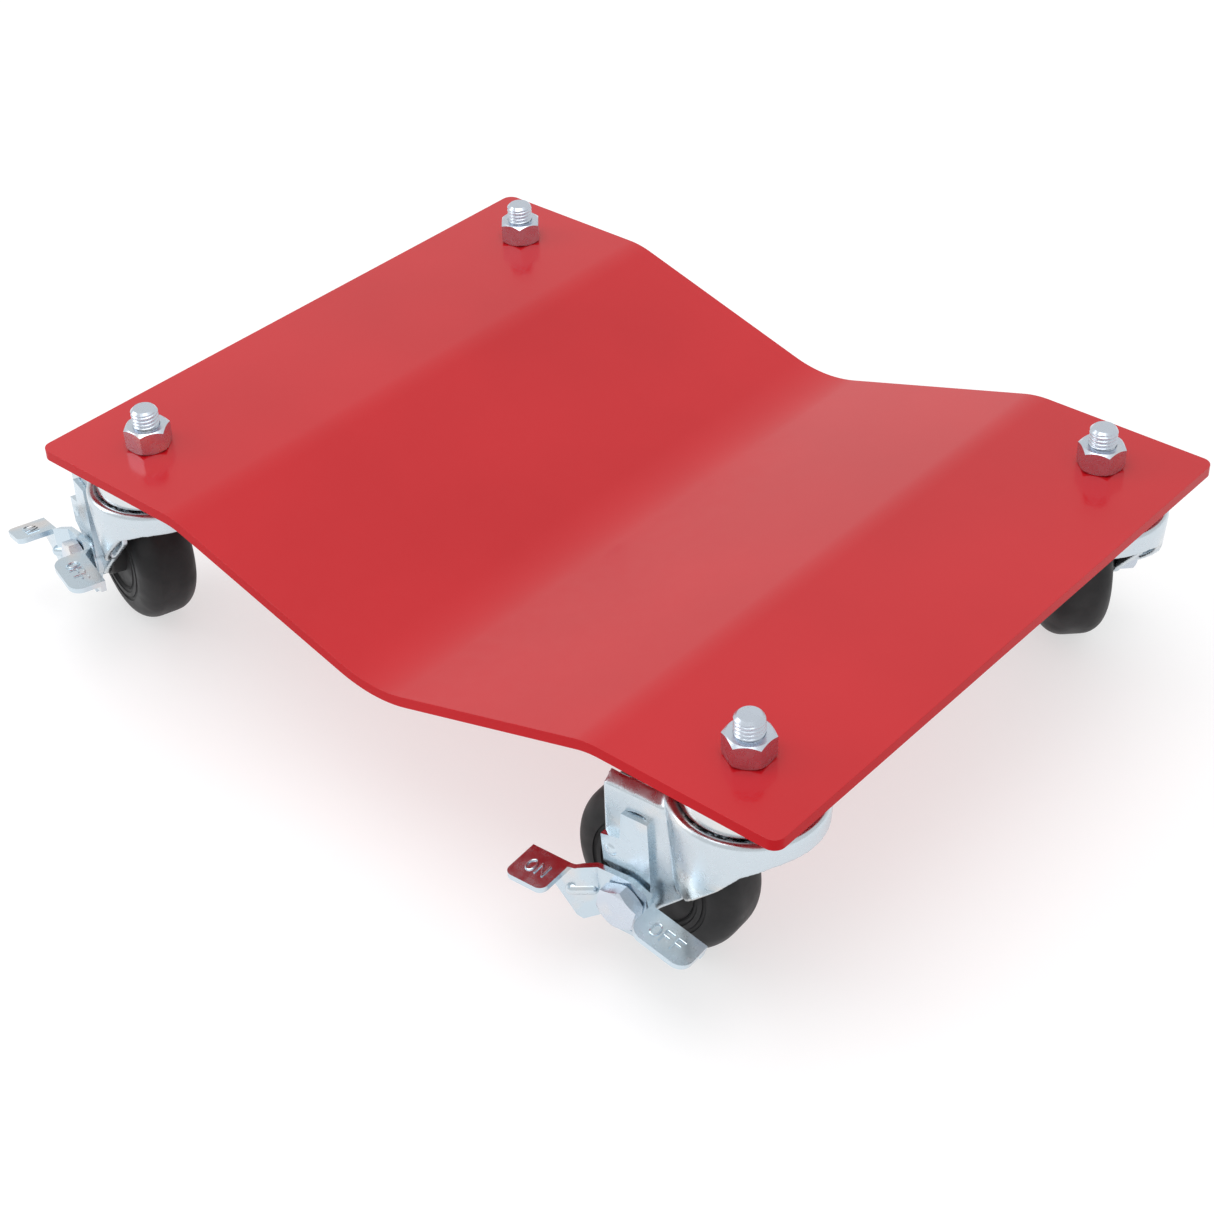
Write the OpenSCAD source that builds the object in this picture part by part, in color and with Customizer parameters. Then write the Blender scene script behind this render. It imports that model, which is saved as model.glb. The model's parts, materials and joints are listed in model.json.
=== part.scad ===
// Wheel dolly: a bent steel plate that cradles one car wheel, on four swivel casters.
// Millimetres. The origin is on the ground under the middle of the whole object's box,
// +Z is up, +X runs towards the front pair of casters and +Y towards the left pair.

/* [Plate] */
// Distance of the plate's middle ahead of the origin, as the brake pedals stick out behind
plate_mid_x = 26; // [20:1:30]
// Length of the plate, end to end
plate_l = 406.4; // [390:0.1:440]
// Width of the plate, along the bends
plate_w = 304.8; // [290:0.1:330]
// Thickness of the plate
plate_t = 5; // [4:0.5:6]
// Height of the flat ends above the ground
plate_top = 108.5; // [108:0.5:112]
// Depth of the cradle below the flat ends
cradle_d = 34.5; // [25:0.5:36]
// Distance from the middle to the bend beside a flat end
bend_x = 115; // [110:1:125]
// Inside radius of the two outer bends
end_bend_r = 45; // [20:1:60]
// Inside radius of the middle bend
mid_bend_r = 60; // [20:1:80]
// Radius of the plate's corners in plan
corner_r = 5; // [3:0.5:10]

/* [Casters] */
// Distance from the middle to a caster stem, along the plate
stem_x = 166.5; // [160:0.5:175]
// Distance from the middle to a caster stem, across the plate
stem_y = 120.8; // [115:0.1:125]
// Diameter of the threaded stem
stem_d = 12; // [10:1:12]
// Height of the stem's tip above the plate
stem_proud = 19; // [16:0.5:22]
// Distance from the stem's axis to the axle
trail = 36.5; // [34:0.5:37]
// Heading of the front right caster
front_right_yaw = 184; // [0:1:359]
// Heading of the rear right caster
rear_right_yaw = 163; // [0:1:359]
// Heading of the front left caster
front_left_yaw = 134; // [0:1:359]
// Heading of the rear left caster
rear_left_yaw = 205; // [0:1:359]

/* [Wheels] */
// Diameter of a wheel
wheel_d = 76.2; // [70:0.1:77]
// Width of a wheel across its tread
wheel_w = 28; // [24:1:30]
// Radius that crowns the edges of the tread
tread_r = 10; // [6:1:12]

/* [Brakes] */
// Thickness of the brake's two pressed plates
brake_t = 2.5; // [2:0.5:3]
// Height of the ON pedal above the ground
on_pedal_z = 47.5; // [44:0.5:50]
// How far the rear right lever is rocked towards ON, in degrees
rear_right_rock = 14; // [0:1:25]

/* [Hidden] */
$fn = 64;
eps = 0.01;

// Fastener sizes: M12 stem nut, M10 axle bolt and nut
nut12_af = 18;
nut12_h = 10.8;
nut10_af = 17;
nut10_h = 8;
head10_h = 6.4;
axle_d = 10;

// Clearances
slide_gap = 0.1;
thread_gap = 0.05;
hole_gap = 0.3;
side_gap = 0.3;

// Plate
plate_under = plate_top - plate_t;
slope = atan(cradle_d / bend_x);

// Upper ball race, between the cap and the fork
ball_d = 6;
ball_n = 20;
ball_ring_r = 21.5;
ball_z = 90.6;
fork_top = 90;
cap_under = 90.6;
cap_r = 26.4;

// Lower ball race, under the fork
low_ball_d = 5;
low_ball_n = 14;
low_ring_r = 13.5;
low_ball_z = 84.9;
low_race_r = 18;
low_race_top = 83.2;
low_race_under = 79;
stem_head_r = 10;
stem_head_h = 2.6;

// Fork
sheet = 3;
fork_gap = 40;
head_r = 31;
fork_under = fork_top - sheet - 0.5;
leg_in = fork_gap / 2;
leg_out = leg_in + sheet;
eye_r = 11;
axle_z = wheel_d / 2;
kingpin_hole_r = 9;
facet_x = 22.5;
cone_r = 28.5;
cone_z = 50;
leg_x = 50;
skirt_z = 80;
rim_r = 2.4;
rim_z = 88.6;

// Wheel and bush
bush_od = 14;
hub_r = 12;
hub_w = fork_gap - 2 * side_gap;
groove_r = [22, 26];

// Brake plates stand one outside the other on the +Y leg
cam_y = leg_out;
boss_r = 9;
boss_h = 1.1;
lever_y = cam_y + brake_t + boss_h + side_gap;
head_y = lever_y + brake_t + 0.2;
on_pedal_x = [59.5, 78];
off_pedal_x = [-3, 22.5];
off_pedal_z = 37;
off_tilt = 16;
on_reach = 50.5;
off_reach = 47.5;
joggle = 5.1;
pedal_y = lever_y + joggle;
hook_z = 76;
hook_h = 2;
hook_x = [31, 38];
dimple_r = 4.5;

// ---- placing a caster's parts ----

// A caster's own frame: +X trails towards its axle, +Y is the axle's direction.
module front_right() {
    translate([plate_mid_x + stem_x, -stem_y, 0]) rotate([0, 0, front_right_yaw]) children();
}

module rear_right() {
    translate([plate_mid_x - stem_x, -stem_y, 0]) rotate([0, 0, rear_right_yaw]) children();
}

module front_left() {
    translate([plate_mid_x + stem_x, stem_y, 0]) rotate([0, 0, front_left_yaw]) children();
}

module rear_left() {
    translate([plate_mid_x - stem_x, stem_y, 0]) rotate([0, 0, rear_left_yaw]) children();
}

// Turns a shape drawn upwards so that it lies along +Y, centred on the axle.
module on_axle(y) {
    translate([trail, y, axle_z]) rotate([-90, 0, 0]) children();
}

// Stands a flat outline, drawn in X and Z, up as a plate from y to y + t.
module upright(y, t) {
    translate([0, y + t, 0]) rotate([90, 0, 0]) linear_extrude(height = t) children();
}

// ---- plate ----

// Points of a smooth bend of radius r at corner b, between lines from a and to c.
function unit(v) = v / norm(v);
function bend(a, b, c, r, n = 8) =
    let (
        u = unit(a - b),
        w = unit(c - b),
        half = acos(u * w) / 2,
        d = r / tan(half),
        mid = b + unit(u + w) * r / sin(half),
        p = b + u * d,
        q = b + w * d,
        a0 = atan2(p[1] - mid[1], p[0] - mid[0]),
        a1 = atan2(q[1] - mid[1], q[0] - mid[0]),
        turn = a1 - a0 > 180 ? a1 - a0 - 360 : a1 - a0 < -180 ? a1 - a0 + 360 : a1 - a0
    )
    [for (i = [0:n]) mid + r * [cos(a0 + turn * i / n), sin(a0 + turn * i / n)]];

// The plate's surface line, seen from the side, z at the flat ends and radii of its bends.
function plate_line(z, r_end, r_mid, xb) =
    let (
        e0 = [-plate_l / 2, z],
        b0 = [-xb, z],
        v = [0, z - xb * tan(slope)],
        b1 = [xb, z],
        e1 = [plate_l / 2, z]
    )
    concat([e0], bend(e0, b0, v, r_end), bend(b0, v, b1, r_mid), bend(v, b1, e1, r_end), [e1]);

module plate_profile() {
    shift = plate_t * tan(slope / 2);
    top = plate_line(plate_top, end_bend_r, mid_bend_r, bend_x);
    under = plate_line(plate_under, end_bend_r - plate_t, mid_bend_r + plate_t, bend_x - shift);
    polygon(concat(top, [for (i = [len(under) - 1:-1:0]) under[i]]));
}

module corner_cut(x, y) {
    mirror([x < 0 ? 1 : 0, 0, 0])
        mirror([0, y < 0 ? 1 : 0, 0])
            translate([plate_l / 2 - corner_r, plate_w / 2 - corner_r, plate_under - 1])
                linear_extrude(height = plate_t + 2)
                    difference() {
                        square(corner_r + 1);
                        circle(r = corner_r);
                    }
}

module cradle_plate() {
    color("firebrick") translate([plate_mid_x, 0, 0])
        difference() {
            upright(-plate_w / 2, plate_w) plate_profile();
            for (x = [-1, 1], y = [-1, 1]) {
                corner_cut(x, y);
                translate([x * stem_x, y * stem_y, plate_under - 1])
                    cylinder(h = plate_t + 2, d = stem_d + 2 * hole_gap);
            }
        }
}

// ---- stem and its bearing ----

// Hexagon af across its flats, with both ends chamfered by an intersecting cone.
module hex_body(af, h) {
    corner = af / cos(30);
    intersection() {
        cylinder(h = h, d = corner, $fn = 6);
        rotate_extrude()
            polygon([
                [0, 0], [af * 0.48, 0], [corner / 2 + eps, h * 0.13],
                [corner / 2 + eps, h * 0.87], [af * 0.48, h], [0, h]
            ]);
    }
}

module stem_nut(turn) {
    color("lightsteelblue")
        translate([0, 0, plate_top])
            difference() {
                rotate([0, 0, turn]) hex_body(nut12_af, nut12_h);
                translate([0, 0, -1]) cylinder(h = nut12_h + 2, d = stem_d + 2 * thread_gap);
            }
}

// Threaded stem with the head that holds the lower race, and a chamfered tip.
module stem() {
    tip = plate_top + stem_proud;
    foot = low_race_under - stem_head_h;
    color("silver")
        rotate_extrude()
            polygon([
                [0, foot], [stem_head_r, foot], [stem_head_r, low_race_under],
                [stem_d / 2, low_race_under], [stem_d / 2, tip - 1.2],
                [stem_d / 2 - 1.2, tip], [0, tip]
            ]);
}

// Ring section with a ball groove, used by both races.
module race_cap() {
    color("gainsboro")
        rotate_extrude()
            difference() {
                polygon([
                    [stem_d / 2 + thread_gap, cap_under + 2], [12, cap_under + 2], [14, cap_under],
                    [cap_r - 0.6, cap_under], [cap_r, cap_under + 0.8],
                    [cap_r - 1, plate_under - 3], [cap_r - 4, plate_under],
                    [stem_d / 2 + thread_gap, plate_under]
                ]);
                translate([ball_ring_r, ball_z]) circle(d = ball_d + slide_gap);
            }
}

module lower_race() {
    color("gainsboro")
        rotate_extrude()
            difference() {
                polygon([
                    [stem_d / 2 + thread_gap, low_race_under], [low_race_r - 2, low_race_under],
                    [low_race_r, low_race_under + 1.5], [low_race_r, low_race_top],
                    [stem_d / 2 + thread_gap, low_race_top]
                ]);
                translate([low_ring_r, low_ball_z]) circle(d = low_ball_d + slide_gap);
            }
}

module ball_ring(d, n, r, z) {
    color("silver")
        for (i = [0:n - 1])
            rotate([0, 0, 360 * i / n])
                translate([r, 0, z])
                    sphere(d = d, $fn = 32);
}

module upper_balls() {
    ball_ring(ball_d, ball_n, ball_ring_r, ball_z);
}

module lower_balls() {
    ball_ring(low_ball_d, low_ball_n, low_ring_r, low_ball_z);
}

// ---- fork ----

// Side outline of the fork: head, legs narrowing into the axle eye, and the front skirt.
module fork_side() {
    eye_in = eye_r - 0.6;
    polygon([
        [-head_r - 1, fork_top + 3], [leg_x, fork_top + 3], [leg_x, 56],
        [trail + eye_in * cos(10), axle_z - eye_in * sin(10)], [trail, axle_z],
        [trail - eye_in * cos(50), axle_z - eye_in * sin(50)], [-6, 66],
        [-14, 75], [-24, skirt_z], [-head_r - 1, skirt_z + 1]
    ]);
}

// Half of the folded section, seen along X: leg, sloping facet and inner flange.
module leg_section() {
    polygon([
        [leg_in, 20], [leg_out, 20], [leg_out, 87], [leg_out - 5.5, fork_top + 0.2],
        [leg_out - 7, fork_under + 1.1], [leg_in, 85]
    ]);
}

// Both legs from x to the fork's back edge.
module leg_pair(x) {
    for (side = [0, 1])
        mirror([0, side, 0])
            translate([x, 0, 0])
                rotate([90, 0, 90])
                    linear_extrude(height = leg_x - x)
                        leg_section();
}

// Dished head: a flat top with a rolled rim, and a skirt that narrows downwards.
module fork_head() {
    rotate_extrude()
        difference() {
            union() {
                polygon([
                    [kingpin_hole_r, fork_under], [head_r - sheet, fork_under],
                    [cone_r - sheet, cone_z], [cone_r, cone_z], [head_r, fork_under],
                    [head_r, rim_z], [kingpin_hole_r, rim_z]
                ]);
                translate([head_r - rim_r, rim_z]) circle(r = rim_r);
                translate([kingpin_hole_r, fork_under])
                    square([head_r - 2 * rim_r - 1 - kingpin_hole_r, fork_top - fork_under]);
            }
            translate([ball_ring_r, ball_z]) circle(d = ball_d + slide_gap);
            translate([low_ring_r, low_ball_z]) circle(d = low_ball_d + slide_gap);
        }
}

module fork(hook_slot) {
    color("lightsteelblue")
        difference() {
            union() {
                intersection() {
                    union() {
                        fork_head();
                        difference() {
                            leg_pair(facet_x);
                            translate([0, 0, fork_under - 20]) cylinder(h = 40, r = head_r - 1.5);
                        }
                        difference() {
                            leg_pair(-8);
                            translate([-60, -60, fork_under - 4]) cube([120, 120, 20]);
                        }
                    }
                    upright(-60, 120) fork_side();
                }
                on_axle(leg_in) cylinder(h = sheet, r = eye_r);
                on_axle(-leg_out) cylinder(h = sheet, r = eye_r);
            }
            translate([-60, -leg_in, -1]) cube([120, fork_gap, skirt_z - 1]);
            on_axle(-40) cylinder(h = 80, d = axle_d + 2 * slide_gap);
            if (hook_slot)
                translate([hook_x[0] - side_gap, leg_in - 1, hook_z - side_gap])
                    cube([hook_x[1] - hook_x[0] + 2 * side_gap, sheet + 2, hook_h + 2 * side_gap]);
        }
}

// ---- wheel and axle ----

module wheel() {
    r = wheel_d / 2;
    half = wheel_w / 2;
    color("dimgray")
        on_axle(0)
            rotate_extrude()
                difference() {
                    union() {
                        translate([0, -half + tread_r]) square([r, wheel_w - 2 * tread_r]);
                        translate([0, -half]) square([r - tread_r, wheel_w]);
                        translate([r - tread_r, half - tread_r]) circle(r = tread_r);
                        translate([r - tread_r, tread_r - half]) circle(r = tread_r);
                        translate([0, -hub_w / 2]) square([hub_r, hub_w]);
                    }
                    translate([-1, -hub_w]) square([1 + bush_od / 2 + slide_gap, 2 * hub_w]);
                    for (g = groove_r, s = [-1, 1])
                        translate([g, s * half]) circle(r = 1);
                    for (s = [-1, 1])
                        translate([(hub_r + groove_r[0]) / 2, s * (half + 0.8)])
                            square([groove_r[0] - hub_r - 2, 4], center = true);
                }
}

module axle_bush() {
    color("silver")
        on_axle(-leg_in)
            difference() {
                cylinder(h = fork_gap, d = bush_od);
                translate([0, 0, -1]) cylinder(h = fork_gap + 2, d = axle_d + 2 * thread_gap);
            }
}

// Bolt from its head at seat_y to its tip outside the nut.
module axle_bolt(seat_y) {
    tip = leg_out + nut10_h + 2.5;
    color("lightsteelblue")
        translate([trail, 0, axle_z])
            rotate([-90, 0, 0]) {
                translate([0, 0, seat_y]) rotate([0, 0, 18]) hex_body(nut10_af, head10_h);
                translate([0, 0, -tip + 1]) cylinder(h = seat_y + tip, d = axle_d);
                translate([0, 0, -tip]) cylinder(h = 1, d1 = axle_d - 2, d2 = axle_d);
            }
}

module axle_nut() {
    color("lightsteelblue")
        on_axle(-leg_out - nut10_h)
            difference() {
                rotate([0, 0, 7]) hex_body(nut10_af, nut10_h);
                translate([0, 0, -1]) cylinder(h = nut10_h + 2, d = axle_d + 2 * thread_gap);
            }
}

// ---- side brake ----

// Fixed plate: hooked into the leg at its top, held by the bolt, with a dimpled ear and a
// lip at the bottom.
module brake_cam_plate() {
    color("lightsteelblue")
        difference() {
            union() {
                upright(cam_y, brake_t)
                    union() {
                        translate([trail, axle_z]) circle(r = 10);
                        polygon([
                            [28, hook_z + hook_h], [40, hook_z + hook_h], [41, 65], [50, 63],
                            [49, 50], [43, 46], [trail + 9, axle_z], [trail + 8, 20],
                            [trail - 2, 19], [trail - 9, axle_z], [27, 50]
                        ]);
                    }
                on_axle(cam_y) cylinder(h = brake_t + boss_h, r = boss_r);
                translate([trail - 2, cam_y, 18]) cube([10, brake_t + boss_h, 2.2]);
                intersection() {
                    translate([45.5, cam_y + brake_t - dimple_r + 1, 57]) sphere(r = dimple_r);
                    translate([40, cam_y + 1, 50]) cube([12, brake_t, 14]);
                }
                translate([hook_x[0], leg_in - 2, hook_z])
                    cube([hook_x[1] - hook_x[0], sheet + 2 + eps, hook_h]);
            }
            on_axle(cam_y - 1) cylinder(h = brake_t + boss_h + 2, d = axle_d + 2 * slide_gap);
        }
}

// Side outline of the rocking lever: hub, an arm with a low toe behind, an arm in front.
module lever_side() {
    translate([trail, axle_z]) circle(r = 11.5);
    polygon([
        [trail, axle_z + 11.5], [55, on_pedal_z + 1.2], [on_pedal_x[0], on_pedal_z],
        [on_pedal_x[1], on_pedal_z], [on_pedal_x[1] - 2, on_pedal_z - 6], [66, 35],
        [54, 22], [49, 24], [trail, axle_z]
    ]);
    polygon([
        [trail, axle_z + 11.5], [29, 47.5], [off_pedal_x[1] + 2, 45.5],
        [off_pedal_x[1], off_pedal_z + 8.6], [off_pedal_x[0], off_pedal_z + 1.3],
        [off_pedal_x[0] + 1, 34], [14, 33], [trail, axle_z - 10]
    ]);
}

// The lever's line seen from above, with both arms stepped outwards clear of the hub.
module lever_plan(y) {
    far = y + joggle;
    polygon([
        [off_pedal_x[0] - 2, far], [20, far], [25.3, y], [50, y], [57, far],
        [on_pedal_x[1] + 2, far], [on_pedal_x[1] + 2, far + brake_t], [56, far + brake_t],
        [49, y + brake_t], [26.3, y + brake_t], [21, far + brake_t],
        [off_pedal_x[0] - 2, far + brake_t]
    ]);
}

// Rocking lever on the axle bolt, with a pressed ridge and a pedal at each end. The rock
// angle turns it about the axle, ON pedal down.
module brake_lever(rock) {
    color("lightsteelblue")
        translate([trail, 0, axle_z]) rotate([0, rock, 0]) translate([-trail, 0, -axle_z])
            difference() {
                union() {
                    intersection() {
                        linear_extrude(height = 60) lever_plan(lever_y);
                        upright(lever_y - 1, joggle + brake_t + 2) lever_side();
                    }
                    on_pedal();
                    off_pedal();
                    lever_ridge();
                }
                on_axle(lever_y - 1) cylinder(h = brake_t + 2, d = axle_d + 2 * slide_gap);
            }
}

// Flat pedal outline with its two free corners rounded, root on the lever plate.
module pedal_outline(l, reach, r) {
    square([l, reach - r]);
    translate([r, reach - r]) circle(r = r);
    translate([l - r, reach - r]) circle(r = r);
    translate([r, 0]) square([l - 2 * r, reach]);
}

module on_pedal() {
    translate([on_pedal_x[0], pedal_y, on_pedal_z - brake_t])
        linear_extrude(height = brake_t)
            pedal_outline(on_pedal_x[1] - on_pedal_x[0], on_reach - pedal_y, 3.5);
}

module off_pedal() {
    translate([off_pedal_x[0], pedal_y, off_pedal_z])
        rotate([0, -off_tilt, 0])
            linear_extrude(height = brake_t)
                pedal_outline(off_pedal_x[1] - off_pedal_x[0] + 1, off_reach - pedal_y, 6);
}

// Rounded ridge pressed out of the lever along the step of its rear arm.
module lever_ridge() {
    ridge_l = 8;
    ridge_r = 2.6;
    translate([51.5, lever_y + brake_t + 0.2, 37])
        rotate([0, 90, atan(joggle / 7)]) {
            cylinder(h = ridge_l, r = ridge_r);
            sphere(r = ridge_r);
            translate([0, 0, ridge_l]) sphere(r = ridge_r);
        }
}

// Casters without a brake have the bolt's head straight on the leg.
plain_seat = leg_out;
brake_seat = head_y;

cradle_plate();

front_right() stem_nut(28);  // front_right_stem_nut
front_right() stem();  // front_right_stem
front_right() race_cap();  // front_right_race_cap
front_right() upper_balls();  // front_right_upper_balls
front_right() fork(true);  // front_right_fork
front_right() lower_balls();  // front_right_lower_balls
front_right() lower_race();  // front_right_lower_race
front_right() wheel();  // front_right_wheel
front_right() axle_bush();  // front_right_axle_bush
front_right() axle_bolt(brake_seat);  // front_right_axle_bolt
front_right() axle_nut();  // front_right_axle_nut
front_right() brake_cam_plate();  // front_right_brake_cam_plate
front_right() brake_lever(0);  // front_right_brake_lever

rear_right() stem_nut(20);  // rear_right_stem_nut
rear_right() stem();  // rear_right_stem
rear_right() race_cap();  // rear_right_race_cap
rear_right() upper_balls();  // rear_right_upper_balls
rear_right() fork(true);  // rear_right_fork
rear_right() lower_balls();  // rear_right_lower_balls
rear_right() lower_race();  // rear_right_lower_race
rear_right() wheel();  // rear_right_wheel
rear_right() axle_bush();  // rear_right_axle_bush
rear_right() axle_bolt(brake_seat);  // rear_right_axle_bolt
rear_right() axle_nut();  // rear_right_axle_nut
rear_right() brake_cam_plate();  // rear_right_brake_cam_plate
rear_right() brake_lever(rear_right_rock);  // rear_right_brake_lever

front_left() stem_nut(4);  // front_left_stem_nut
front_left() stem();  // front_left_stem
front_left() race_cap();  // front_left_race_cap
front_left() upper_balls();  // front_left_upper_balls
front_left() fork(false);  // front_left_fork
front_left() lower_balls();  // front_left_lower_balls
front_left() lower_race();  // front_left_lower_race
front_left() wheel();  // front_left_wheel
front_left() axle_bush();  // front_left_axle_bush
front_left() axle_bolt(plain_seat);  // front_left_axle_bolt
front_left() axle_nut();  // front_left_axle_nut

rear_left() stem_nut(-14);  // rear_left_stem_nut
rear_left() stem();  // rear_left_stem
rear_left() race_cap();  // rear_left_race_cap
rear_left() upper_balls();  // rear_left_upper_balls
rear_left() fork(false);  // rear_left_fork
rear_left() lower_balls();  // rear_left_lower_balls
rear_left() lower_race();  // rear_left_lower_race
rear_left() wheel();  // rear_left_wheel
rear_left() axle_bush();  // rear_left_axle_bush
rear_left() axle_bolt(plain_seat);  // rear_left_axle_bolt
rear_left() axle_nut();  // rear_left_axle_nut
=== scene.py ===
import json
import math

import bmesh
import bpy
from mathutils import Matrix, Vector


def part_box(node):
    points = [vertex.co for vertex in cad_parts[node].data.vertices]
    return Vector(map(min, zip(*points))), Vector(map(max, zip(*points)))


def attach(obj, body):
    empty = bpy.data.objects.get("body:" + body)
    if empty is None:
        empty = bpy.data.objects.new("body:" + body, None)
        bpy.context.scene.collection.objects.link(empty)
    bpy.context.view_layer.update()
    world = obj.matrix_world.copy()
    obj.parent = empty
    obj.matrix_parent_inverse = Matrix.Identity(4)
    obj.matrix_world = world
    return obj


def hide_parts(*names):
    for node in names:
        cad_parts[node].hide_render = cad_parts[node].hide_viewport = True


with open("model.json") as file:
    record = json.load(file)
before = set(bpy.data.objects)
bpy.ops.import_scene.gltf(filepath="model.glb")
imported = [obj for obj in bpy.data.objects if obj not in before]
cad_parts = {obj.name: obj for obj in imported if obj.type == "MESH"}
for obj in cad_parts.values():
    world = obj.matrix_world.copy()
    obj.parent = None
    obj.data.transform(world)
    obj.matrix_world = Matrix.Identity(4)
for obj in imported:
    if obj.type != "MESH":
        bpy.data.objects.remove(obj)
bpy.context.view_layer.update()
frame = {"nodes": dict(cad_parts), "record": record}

MM = 0.001
SCENE = bpy.context.scene

# ---- what the frame says ----

PLATE_LOW, PLATE_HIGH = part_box("cradle_plate")
PLATE_TOP = PLATE_HIGH[2]
PLATE_MID_X = (PLATE_LOW[0] + PLATE_HIGH[0]) / 2
PLATE_LENGTH = PLATE_HIGH[0] - PLATE_LOW[0]
PLATE_WIDTH = PLATE_HIGH[1] - PLATE_LOW[1]
JOINTS = {joint["name"]: joint for joint in frame["record"]["behaviour"]["joints"]}
SWIVEL = "_swivel_turn"
CASTERS = [name[: -len(SWIVEL)] for name in JOINTS if name.endswith(SWIVEL)]
BRAKED = [name for name in CASTERS if name + "_brake_rock" in JOINTS]


def caster_frame(caster):
    """Matrix of a caster's own frame: origin on the ground under its stem, +X towards its axle,
    +Y along the axle."""
    stem = Vector(JOINTS[caster + SWIVEL]["pos_m"])
    spin = JOINTS[caster + "_wheel_spin"]
    along_axle = Vector(spin["axis"]).normalized()
    trail = Vector(spin["pos_m"]) - stem
    trail.z = 0
    rows = Matrix((trail.normalized(), along_axle, Vector((0, 0, 1))))
    matrix = rows.transposed().to_4x4()
    matrix.translation = (stem.x, stem.y, 0)
    return matrix


def axle_frame(caster):
    """Matrix of the wheel's frame: origin at its middle, +Z along the axle."""
    spin = JOINTS[caster + "_wheel_spin"]
    matrix = Vector((0, 0, 1)).rotation_difference(Vector(spin["axis"])).to_matrix().to_4x4()
    matrix.translation = spin["pos_m"]
    return matrix


# ---- camera, fitted to the photograph's view of the plate ----

CAMERA_AZIMUTH = math.radians(42.0)
CAMERA_ELEVATION = math.radians(36.89)
CAMERA_ROLL = math.radians(-2.09)
CAMERA_DISTANCE = 0.907
CAMERA_AIM = Vector((PLATE_MID_X + 0.0682, -0.0856, PLATE_TOP))
CAMERA_LENS = 68.33


def make_camera():
    """Camera at the photograph's viewing angle, aimed at a point on the plate."""
    sin_a, cos_a = math.sin(CAMERA_AZIMUTH), math.cos(CAMERA_AZIMUTH)
    sin_e, cos_e = math.sin(CAMERA_ELEVATION), math.cos(CAMERA_ELEVATION)
    back = Vector((sin_a * cos_e, -cos_a * cos_e, sin_e))
    level = Vector((cos_a, sin_a, 0))
    upward = back.cross(level)
    right = level * math.cos(CAMERA_ROLL) + upward * math.sin(CAMERA_ROLL)
    up = upward * math.cos(CAMERA_ROLL) - level * math.sin(CAMERA_ROLL)
    data = bpy.data.cameras.new("camera")
    data.sensor_width = 36
    data.lens = CAMERA_LENS
    data.clip_end = 50
    camera = bpy.data.objects.new("camera", data)
    camera.matrix_world = Matrix((right, up, back)).transposed().to_4x4()
    camera.location = CAMERA_AIM + back * CAMERA_DISTANCE
    SCENE.collection.objects.link(camera)
    SCENE.camera = camera


# ---- node helpers for materials ----


def new_material(name):
    material = bpy.data.materials.new(name)
    material.use_nodes = True
    return material, material.node_tree, material.node_tree.nodes["Principled BSDF"]


def noise(tree, scale, detail=3.0, roughness=0.5, stretch=None):
    """Noise of about 1/scale metres in object coordinates, squeezed along an axis if asked."""
    vector = tree.nodes.new("ShaderNodeTexCoord").outputs["Object"]
    if stretch:
        mapping = tree.nodes.new("ShaderNodeMapping")
        mapping.inputs["Scale"].default_value = stretch
        tree.links.new(vector, mapping.inputs["Vector"])
        vector = mapping.outputs["Vector"]
    node = tree.nodes.new("ShaderNodeTexNoise")
    node.inputs["Scale"].default_value = scale
    node.inputs["Detail"].default_value = detail
    node.inputs["Roughness"].default_value = roughness
    tree.links.new(vector, node.inputs["Vector"])
    return node.outputs["Fac"]


def ramp(tree, value, *stops):
    """Colour ramp through (position, (r, g, b)) stops."""
    node = tree.nodes.new("ShaderNodeValToRGB")
    elements = node.color_ramp.elements
    while len(elements) < len(stops):
        elements.new(0.5)
    for element, (position, colour) in zip(elements, stops):
        element.position = position
        element.color = (*colour, 1)
    tree.links.new(value, node.inputs["Fac"])
    return node.outputs["Color"]


def spread(tree, value, low, high):
    """Maps a value to low..high, over the middle range that a noise fills."""
    node = tree.nodes.new("ShaderNodeMapRange")
    node.inputs["From Min"].default_value = 0.3
    node.inputs["From Max"].default_value = 0.7
    node.inputs["To Min"].default_value = low
    node.inputs["To Max"].default_value = high
    tree.links.new(value, node.inputs["Value"])
    return node.outputs["Result"]


def bump(tree, height, distance, strength, under=None):
    """Bump of a real height in metres, on top of another bump if one is given."""
    node = tree.nodes.new("ShaderNodeBump")
    node.inputs["Distance"].default_value = distance
    node.inputs["Strength"].default_value = strength
    tree.links.new(height, node.inputs["Height"])
    if under:
        tree.links.new(under, node.inputs["Normal"])
    return node.outputs["Normal"]


# ---- materials ----


def red_powder_coat():
    """Semi-gloss powder coat: slight orange peel, cloudy colour and a softer clear layer, with
    painted shade that weakens its shine on faces that don't look up.
    """
    material, tree, shader = new_material("red_powder_coat")
    colour = ramp(tree, noise(tree, 9, 4), (0.3, (0.46, 0.006, 0.011)), (0.7, (0.51, 0.009, 0.015)))
    tree.links.new(colour, shader.inputs["Base Color"])
    tree.links.new(spread(tree, noise(tree, 160, 3), 0.18, 0.24), shader.inputs["Roughness"])
    tree.links.new(bump(tree, noise(tree, 60, 1), 0.00005, 0.4), shader.inputs["Normal"])
    # painted shade: faces that don't look up, such as the plate's cut edges, get weaker reflection
    # and coat, so they shine less than its top
    split = tree.nodes.new("ShaderNodeSeparateXYZ")
    geometry = tree.nodes.new("ShaderNodeNewGeometry")
    tree.links.new(geometry.outputs["Normal"], split.inputs["Vector"])
    facing_up = split.outputs["Z"]
    tree.links.new(spread(tree, facing_up, 0.06, 0.35), shader.inputs["Specular IOR Level"])
    tree.links.new(spread(tree, facing_up, 0.04, 0.2), shader.inputs["Coat Weight"])
    shader.inputs["Coat Roughness"].default_value = 0.06
    return material


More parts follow.
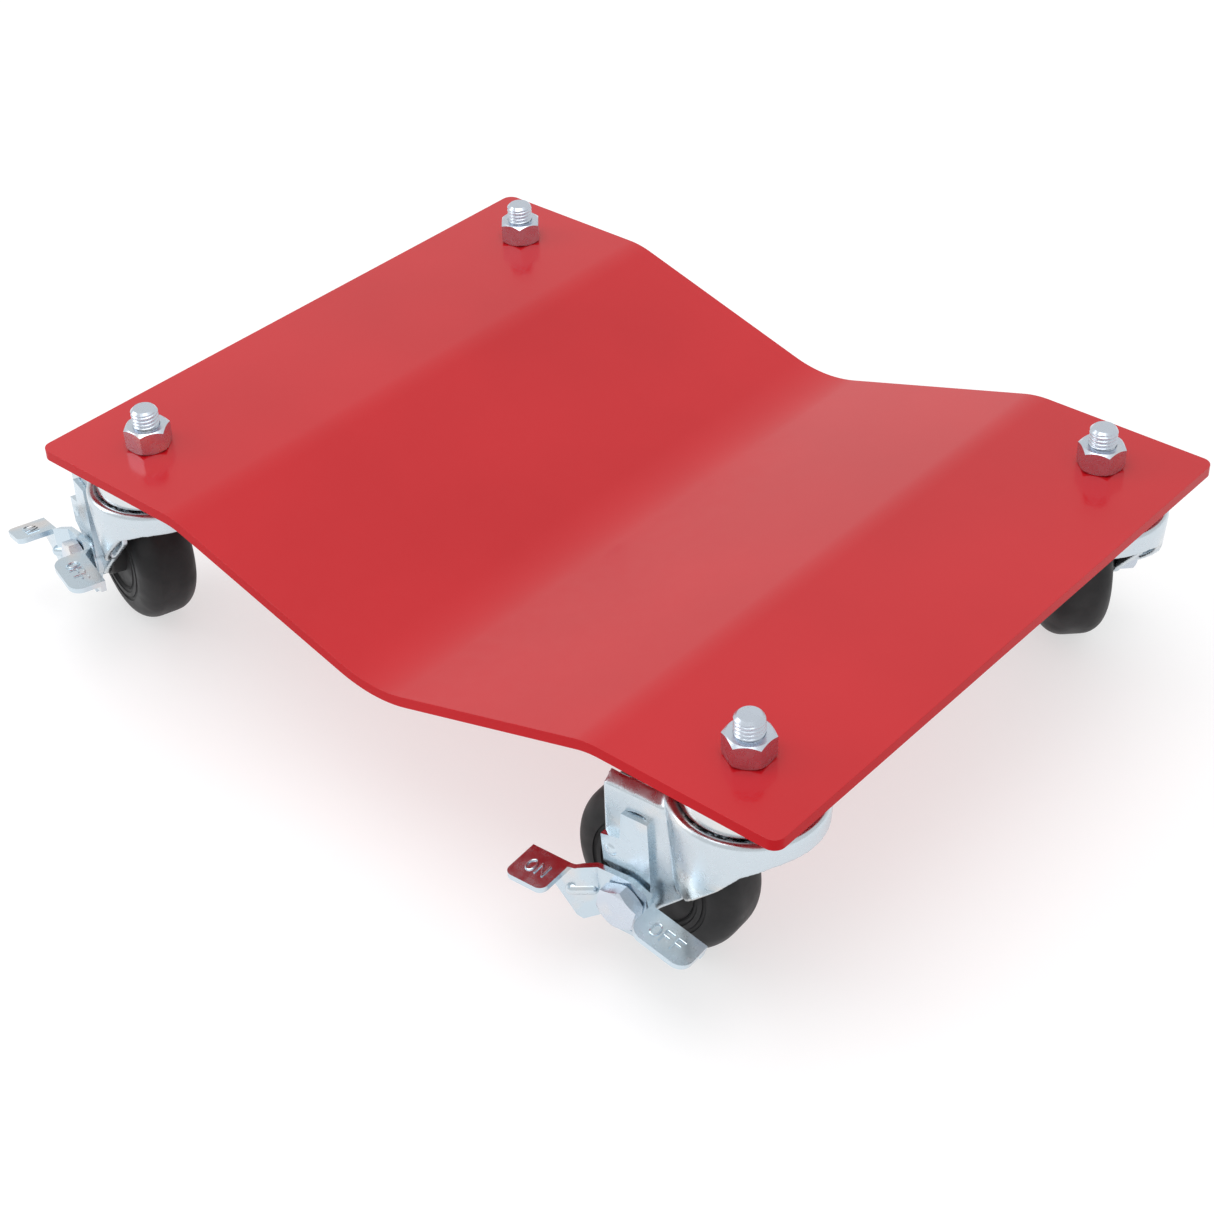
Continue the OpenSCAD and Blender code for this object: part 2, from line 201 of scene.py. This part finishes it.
def zinc(name, cool, warm, rough, scratch):
    """Bright zinc plate or steel with a faint blue-to-straw tint, a fine grain and, where it
    was drawn or pressed, drawing marks."""
    material, tree, shader = new_material(name)
    near_cool = tuple(0.97 * c + 0.02 * w for c, w in zip(cool, warm))
    tint = ramp(tree, noise(tree, 38, 3), (0.36, cool), (0.54, near_cool), (0.68, warm))
    tree.links.new(tint, shader.inputs["Base Color"])
    shader.inputs["Metallic"].default_value = 1
    low, high = rough
    tree.links.new(spread(tree, noise(tree, 240, 4), low, high), shader.inputs["Roughness"])
    normal = bump(tree, noise(tree, 900, 3), 0.00001, 0.3)
    if scratch:
        marks = noise(tree, 180, 2, 0.6, (1, 1, 10))
        normal = bump(tree, marks, 0.00001, 0.3, normal)
    tree.links.new(bump(tree, noise(tree, 45, 1), 0.00012, 0.3, normal), shader.inputs["Normal"])
    return material


def black_wheel():
    """Hard black rubber: satin, finely pitted, with faint clouds of dust."""
    material, tree, shader = new_material("black_wheel")
    clean, dusty = (0.010, 0.010, 0.011), (0.024, 0.023, 0.024)
    colour = ramp(tree, noise(tree, 55, 5, 0.6), (0.42, clean), (0.75, dusty))
    tree.links.new(colour, shader.inputs["Base Color"])
    tree.links.new(spread(tree, noise(tree, 120, 4), 0.44, 0.60), shader.inputs["Roughness"])
    shader.inputs["Specular IOR Level"].default_value = 0.3
    tree.links.new(bump(tree, noise(tree, 700, 4), 0.00005, 0.5), shader.inputs["Normal"])
    return material


# slot: cool tint, warm tint, roughness from and to, and whether it has drawing marks
ZINCS = {
    "zinc_sheet": ((0.60, 0.67, 0.72), (0.71, 0.70, 0.68), (0.22, 0.34), True),
    "zinc_brake": ((0.60, 0.70, 0.77), (0.72, 0.70, 0.69), (0.20, 0.30), True),
    "zinc_race": ((0.68, 0.71, 0.73), (0.72, 0.71, 0.70), (0.14, 0.22), False),
    "zinc_fastener": ((0.62, 0.68, 0.76), (0.74, 0.73, 0.72), (0.22, 0.32), True),
    "bush_steel": ((0.50, 0.51, 0.52), (0.58, 0.57, 0.55), (0.22, 0.34), True),
    "ball_steel": ((0.70, 0.71, 0.72), (0.76, 0.75, 0.74), (0.06, 0.12), False),
}
MATERIALS = {"red_powder_coat": red_powder_coat(), "black_wheel": black_wheel()}
for zinc_name, zinc_row in ZINCS.items():
    MATERIALS[zinc_name] = zinc(zinc_name, *zinc_row)


def dress_nodes():
    """Every CAD node gets its slot's procedural material."""
    for row in frame["record"]["subparts"]:
        node = frame["nodes"][row["node"]]
        slot_name = row.get("material_slot") or row["slot"]
        if not node.material_slots:
            node.data.materials.append(MATERIALS[slot_name])
        for slot in node.material_slots:
            slot.link = "OBJECT"
            slot.material = MATERIALS[slot_name]


# ---- mesh helpers ----


def new_piece(name, mesh, slot_name, body, *nodes):
    """Links a finished mesh as a piece that rides on a body and stands for CAD nodes."""
    piece = bpy.data.objects.new(name, mesh)
    SCENE.collection.objects.link(piece)
    mesh.materials.append(MATERIALS[slot_name])
    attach(piece, body)
    if nodes:
        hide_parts(*nodes)
    return piece


def to_mesh(name, work, sharp=35):
    """Turns the working mesh into a finished one, smooth but for edges sharper than an angle."""
    mesh = bpy.data.meshes.new(name)
    work.to_mesh(mesh)
    work.free()
    for face in mesh.polygons:
        face.use_smooth = True
    mesh.set_sharp_from_angle(angle=math.radians(sharp))
    return mesh


def grid_mesh(name, rows, close_rows=False, matrix=None, sharp=35):
    """Skin over rings of points, each of the same length. The last row joins the first, or
    else both ends are capped."""
    work = bmesh.new()
    rings = [[work.verts.new(point) for point in row] for row in rows]
    for low, high in zip(rings, rings[1:] + rings[:1] if close_rows else rings[1:]):
        count = len(low)
        for i in range(count):
            j = (i + 1) % count
            work.faces.new((low[i], low[j], high[j], high[i]))
    if not close_rows:
        work.faces.new(list(reversed(rings[0])))
        work.faces.new(rings[-1])
    bmesh.ops.recalc_face_normals(work, faces=work.faces)
    if matrix is not None:
        work.transform(matrix)
    return to_mesh(name, work, sharp)


def lathe(name, profile, matrix, steps):
    """Closed ring turned from a closed profile of (radius, height) points."""
    rows = []
    for i in range(steps):
        angle = 2 * math.pi * i / steps
        rows.append([(r * math.cos(angle), r * math.sin(angle), h) for r, h in profile])
    return grid_mesh(name, rows, close_rows=True, matrix=matrix)


def arc(centre, radius, start, end, steps):
    """Points on an arc, angles in degrees."""
    points = []
    for i in range(steps + 1):
        angle = math.radians(start + (end - start) * i / steps)
        points.append((centre[0] + radius * math.cos(angle), centre[1] + radius * math.sin(angle)))
    return points


def soften(obj, width, segments, degrees=30):
    """Rounds an object's sharp edges."""
    bevel = obj.modifiers.new("soft_edges", "BEVEL")
    bevel.width = width
    bevel.segments = segments
    bevel.limit_method = "ANGLE"
    bevel.angle_limit = math.radians(degrees)


# ---- plate, with the sizes that part.scad gives it ----

PLATE_THICK = 5 * MM
CRADLE_DEPTH = 34.5 * MM
BEND_X = 115 * MM
END_BEND_R = 45 * MM
MID_BEND_R = 60 * MM
PLATE_CORNER_R = 5 * MM
CORNER_STEPS = 8
BEND_STEPS = 20


def plate_path():
    """Points (x, z, tilt) along the plate's top surface, from its rear end to its front end."""
    slope = math.atan(CRADLE_DEPTH / BEND_X)
    half = PLATE_LENGTH / 2
    end_cut = END_BEND_R * math.tan(slope / 2)
    mid_cut = MID_BEND_R * math.tan(slope)
    end_x = BEND_X + end_cut
    points = []

    def add_corner(sign, counts):
        for i in counts:
            inset = PLATE_CORNER_R * (1 - math.cos(math.pi / 2 * i / CORNER_STEPS))
            points.append((sign * (half - inset), PLATE_TOP, 0.0))

    def add_bend(cx, cz, radius, start, end, sign):
        for i in range(1, BEND_STEPS + 1):
            tilt = start + (end - start) * i / BEND_STEPS
            x = cx + sign * radius * math.sin(tilt)
            points.append((x, cz + sign * radius * math.cos(tilt), tilt))

    add_corner(-1, range(CORNER_STEPS + 1))
    points.append((-end_x, PLATE_TOP, 0.0))
    add_bend(-end_x, PLATE_TOP - END_BEND_R, END_BEND_R, 0, slope, 1)
    mid_z = PLATE_TOP - CRADLE_DEPTH + MID_BEND_R / math.cos(slope)
    points.append((-mid_cut * math.cos(slope), mid_z - MID_BEND_R * math.cos(slope), slope))
    add_bend(0, mid_z, MID_BEND_R, slope, -slope, -1)
    slope_end_z = PLATE_TOP - END_BEND_R * (1 - math.cos(slope))
    points.append((end_x - END_BEND_R * math.sin(slope), slope_end_z, -slope))
    add_bend(end_x, PLATE_TOP - END_BEND_R, END_BEND_R, -slope, 0, 1)
    add_corner(1, range(CORNER_STEPS, -1, -1))
    return points


def plate_half_width(x):
    """Half the plate's width at x, narrowing round its corners."""
    into = abs(x) - (PLATE_LENGTH / 2 - PLATE_CORNER_R)
    if into <= 0:
        return PLATE_WIDTH / 2
    return PLATE_WIDTH / 2 - PLATE_CORNER_R + math.sqrt(max(PLATE_CORNER_R ** 2 - into ** 2, 0))


def make_plate():
    """Bent plate with its edges rounded under the paint."""
    rows = []
    for x, z, tilt in plate_path():
        half = plate_half_width(x)
        down = Vector((-math.sin(tilt), 0, -math.cos(tilt))) * PLATE_THICK
        top = Vector((PLATE_MID_X + x, 0, z))
        corners = ((-1, top), (1, top), (1, top + down), (-1, top + down))
        rows.append([(base.x, side * half, base.z) for side, base in corners])
    name = "cradle_plate_coated"
    piece = new_piece(name, grid_mesh(name, rows), "red_powder_coat", "frame", "cradle_plate")
    soften(piece, 0.9 * MM, 4, degrees=40)


# ---- threaded stems ----

THREAD_PITCH = 1.75 * MM
THREAD_DEPTH = 0.8 * MM
THREAD_SHOWN = 11 * MM
THREAD_TURN_STEPS = 16
STEM_R = 6 * MM
STEM_TIP_CHAMFER = 1.3 * MM
STEM_GAP = 0.1 * MM
STEM_HEAD_CHAMFER = 0.6 * MM
STEM_STEPS = 96


def make_stem(caster):
    """Stem with a real helical thread where it stands out of its nut, and its head below."""
    node = caster + "_stem"
    low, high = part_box(node)
    race_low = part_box(caster + "_lower_race")[0]
    head_r = (high[0] - low[0]) / 2
    tip = high[2]
    thread_from = tip - THREAD_SHOWN
    angles = [2 * math.pi * i / STEM_STEPS for i in range(STEM_STEPS)]
    rows = []

    def ring(radius, z):
        rows.append([(radius * math.cos(a), radius * math.sin(a), z) for a in angles])

    ring(head_r - STEM_HEAD_CHAMFER, low[2])
    ring(head_r, low[2] + STEM_HEAD_CHAMFER)
    ring(head_r, race_low[2])
    ring(STEM_R - STEM_GAP, race_low[2])
    ring(STEM_R - STEM_GAP, thread_from - THREAD_PITCH)
    count = int(THREAD_SHOWN / (THREAD_PITCH / THREAD_TURN_STEPS))
    for k in range(count + 1):
        z = thread_from + THREAD_SHOWN * k / count
        row = []
        for a in angles:
            phase = z / THREAD_PITCH - a / (2 * math.pi)
            wave = 0.5 + 0.5 * math.cos(2 * math.pi * phase)
            radius = STEM_R - THREAD_DEPTH * (1 - wave ** 0.8)
            radius = min(radius, STEM_R - STEM_TIP_CHAMFER + (tip - z))
            row.append((radius * math.cos(a), radius * math.sin(a), z))
        rows.append(row)
    name = caster + "_threaded_stem"
    mesh = grid_mesh(name, rows, matrix=caster_frame(caster), sharp=40)
    new_piece(name, mesh, "zinc_fastener", "frame", node)


# ---- wheels ----

WHEEL_HALF = 14 * MM
TREAD_R = 10 * MM
TREAD_FLAT = 0.3 * MM
HUB_R = 12 * MM
HUB_HALF = 19.7 * MM
HUB_CHAMFER = 0.8 * MM
BORE_R = 7.1 * MM
WEB_R = 20.4 * MM
WEB_HALF = WHEEL_HALF - 1.2 * MM
GROOVE_R = 1.0 * MM
GROOVES_AT = (22 * MM, 26 * MM)


def make_wheel(caster):
    """Crowned hard-rubber wheel with ring grooves and a raised hub."""
    radius = JOINTS[caster + "_wheel_spin"]["pos_m"][2]
    side = [(BORE_R, HUB_HALF), (HUB_R - HUB_CHAMFER, HUB_HALF), (HUB_R, HUB_HALF - HUB_CHAMFER)]
    side += [(HUB_R + 0.5 * MM, WEB_HALF), (WEB_R, WEB_HALF)]
    for groove in GROOVES_AT:
        side += arc((groove, WHEEL_HALF), GROOVE_R, 180, 360, 8)
    side += arc((radius - TREAD_R, WHEEL_HALF - TREAD_R), TREAD_R, 90, 8, 14)
    side += [(radius, WHEEL_HALF - TREAD_R - TREAD_FLAT)]
    other = [(r, -h) for r, h in reversed(side)]
    name = caster + "_rubber_wheel"
    mesh = lathe(name, side + other, axle_frame(caster), 128)
    new_piece(name, mesh, "black_wheel", caster + "_wheel_body", caster + "_wheel")


# ---- pressed parts ----


def press_fork(caster):
    """Rolls the fork's cut edges over, as a press leaves them."""
    node = frame["nodes"][caster + "_fork"]
    remesh = node.modifiers.new("even_faces", "REMESH")
    remesh.mode = "VOXEL"
    remesh.voxel_size = 0.75 * MM
    remesh.use_smooth_shade = True
    relax = node.modifiers.new("rolled_edges", "SMOOTH")
    relax.factor = 0.5
    relax.iterations = 5


HARDWARE_BEVELS = {"stem_nut": 0.35, "axle_bolt": 0.35, "axle_nut": 0.35, "race_cap": 0.5}


def soften_hardware(caster):
    """Takes the sharpness off nuts, bolts and caps."""
    for part, width in HARDWARE_BEVELS.items():
        soften(frame["nodes"][f"{caster}_{part}"], width * MM, 2)


def soften_brake(caster):
    """Rounds the stamped edges of the brake's two plates."""
    for part in ("brake_cam_plate", "brake_lever"):
        soften(frame["nodes"][f"{caster}_{part}"], 0.6 * MM, 3)


# ---- ON and OFF marks on the pedals ----

MARK_H = 6.0 * MM
MARK_W = 3.6 * MM
MARK_GAP = 1.6 * MM
STROKE_R = 0.45 * MM
STROKE_SIDES = 8
# word: middle in the caster's frame, and how far the pedal leans there in degrees
MARKS = {"ON": ((68.7, 41.5, 47.6), 0), "OFF": ((9.0, 40.0, 43.15), -16)}


def letter_strokes(letter):
    """Strokes of a plain letter in a 1 by 1 square."""
    if letter == "O":
        turns = [t * math.pi / 8 for t in range(17)]
        return [[(0.5 + 0.5 * math.sin(t), 0.5 - 0.5 * math.cos(t)) for t in turns]]
    if letter == "N":
        return [[(0, 0), (0, 1)], [(0, 1), (1, 0)], [(1, 0), (1, 1)]]
    return [[(0, 0), (0, 1)], [(0, 1), (1, 1)], [(0, 0.55), (0.8, 0.55)]]


def add_stroke(work, points):
    """Round bead along a flat line of points, half sunk in the pedal."""
    rings = []
    for index, point in enumerate(points):
        before = points[max(index - 1, 0)]
        after = points[min(index + 1, len(points) - 1)]
        ahead = (after - before).normalized()
        across = Vector((-ahead.y, ahead.x, 0))
        ring = []
        for k in range(STROKE_SIDES):
            turn = 2 * math.pi * k / STROKE_SIDES
            offset = across * math.cos(turn) + Vector((0, 0, math.sin(turn)))
            ring.append(work.verts.new(point + STROKE_R * offset))
        rings.append(ring)
    for low, high in zip(rings, rings[1:]):
        for k in range(STROKE_SIDES):
            n = (k + 1) % STROKE_SIDES
            work.faces.new((low[k], low[n], high[n], high[k]))
    work.faces.new(list(reversed(rings[0])))
    work.faces.new(rings[-1])


def lever_rock(caster):
    """Matrix that rocks points about the axle as far as the lever is rocked at rest."""
    spin = JOINTS[caster + "_wheel_spin"]
    stem = JOINTS[caster + SWIVEL]
    trail = (Vector(spin["pos_m"]) - Vector(stem["pos_m"])).to_2d().length
    axle = Vector((trail, 0, spin["pos_m"][2]))
    rocked = -math.radians(JOINTS[caster + "_brake_rock"]["range_deg"][0])
    rock = Matrix.Rotation(rocked, 4, "Y")
    return Matrix.Translation(axle) @ rock @ Matrix.Translation(-axle)


def make_mark(caster, word, middle, tilt):
    """Pressed letters as thin raised beads, read from outside the lever."""
    name = f"{caster}_{word.lower()}_mark"
    work = bmesh.new()
    width = len(word) * MARK_W + (len(word) - 1) * MARK_GAP
    for index, letter in enumerate(word):
        start = index * (MARK_W + MARK_GAP) - width / 2
        for stroke in letter_strokes(letter):
            add_stroke(work, [Vector((start + u * MARK_W, (v - 0.5) * MARK_H, 0))
                              for u, v in stroke])
    bmesh.ops.recalc_face_normals(work, faces=work.faces)
    turn = Matrix.Rotation(math.pi, 4, "Z")
    lean = Matrix.Rotation(math.radians(tilt), 4, "Y")
    on_lever = Matrix.Translation(Vector(middle) * MM) @ lean @ turn
    work.transform(caster_frame(caster) @ lever_rock(caster) @ on_lever)
    new_piece(name, to_mesh(name, work), "zinc_brake", caster + "_lever_body")


# ---- studio ----

FLOOR_HALF = 12


def make_floor():
    """Plain pale floor that glows a little, so it stays near white under the dolly."""
    mesh = bpy.data.meshes.new("floor")
    corners = [(x * FLOOR_HALF, y * FLOOR_HALF, 0) for x, y in ((-1, -1), (1, -1), (1, 1), (-1, 1))]
    mesh.from_pydata(corners, [], [(0, 1, 2, 3)])
    floor = bpy.data.objects.new("floor", mesh)
    SCENE.collection.objects.link(floor)
    material, _, shader = new_material("pale_floor")
    shader.inputs["Base Color"].default_value = (0.40, 0.40, 0.405, 1)
    shader.inputs["Roughness"].default_value = 0.6
    shader.inputs["Emission Color"].default_value = (1, 1, 1, 1)
    shader.inputs["Emission Strength"].default_value = 0.6
    mesh.materials.append(material)


def make_light(name, place_at, size, power):
    """Soft white area light aimed at the dolly."""
    data = bpy.data.lights.new(name, "AREA")
    data.shape = "RECTANGLE"
    data.size, data.size_y = size
    data.energy = power
    light = bpy.data.objects.new(name, data)
    light.location = place_at
    aim = Vector((PLATE_MID_X, 0, 0.06)) - light.location
    light.rotation_euler = aim.to_track_quat("-Z", "Y").to_euler()
    SCENE.collection.objects.link(light)


def make_studio():
    """Floor, even white surroundings, two soft lights and plain colour handling."""
    make_floor()
    world = bpy.data.worlds.new("studio")
    world.use_nodes = True
    background = world.node_tree.nodes["Background"]
    background.inputs["Color"].default_value = (1, 1, 1, 1)
    background.inputs["Strength"].default_value = 0.8
    SCENE.world = world
    make_light("overhead", (0.1, -0.2, 1.7), (1.4, 1.4), 12)
    make_light("left_soft", (-1.4, -1.0, 1.0), (0.9, 1.2), 6)
    SCENE.view_settings.view_transform = "Standard"
    SCENE.view_settings.look = "None"


make_camera()
dress_nodes()
make_plate()
for caster_name in CASTERS:
    make_stem(caster_name)
    make_wheel(caster_name)
    press_fork(caster_name)
    soften_hardware(caster_name)
for caster_name in BRAKED:
    for mark_word, (mark_middle, mark_tilt) in MARKS.items():
        make_mark(caster_name, mark_word, mark_middle, mark_tilt)
    soften_brake(caster_name)
make_studio()
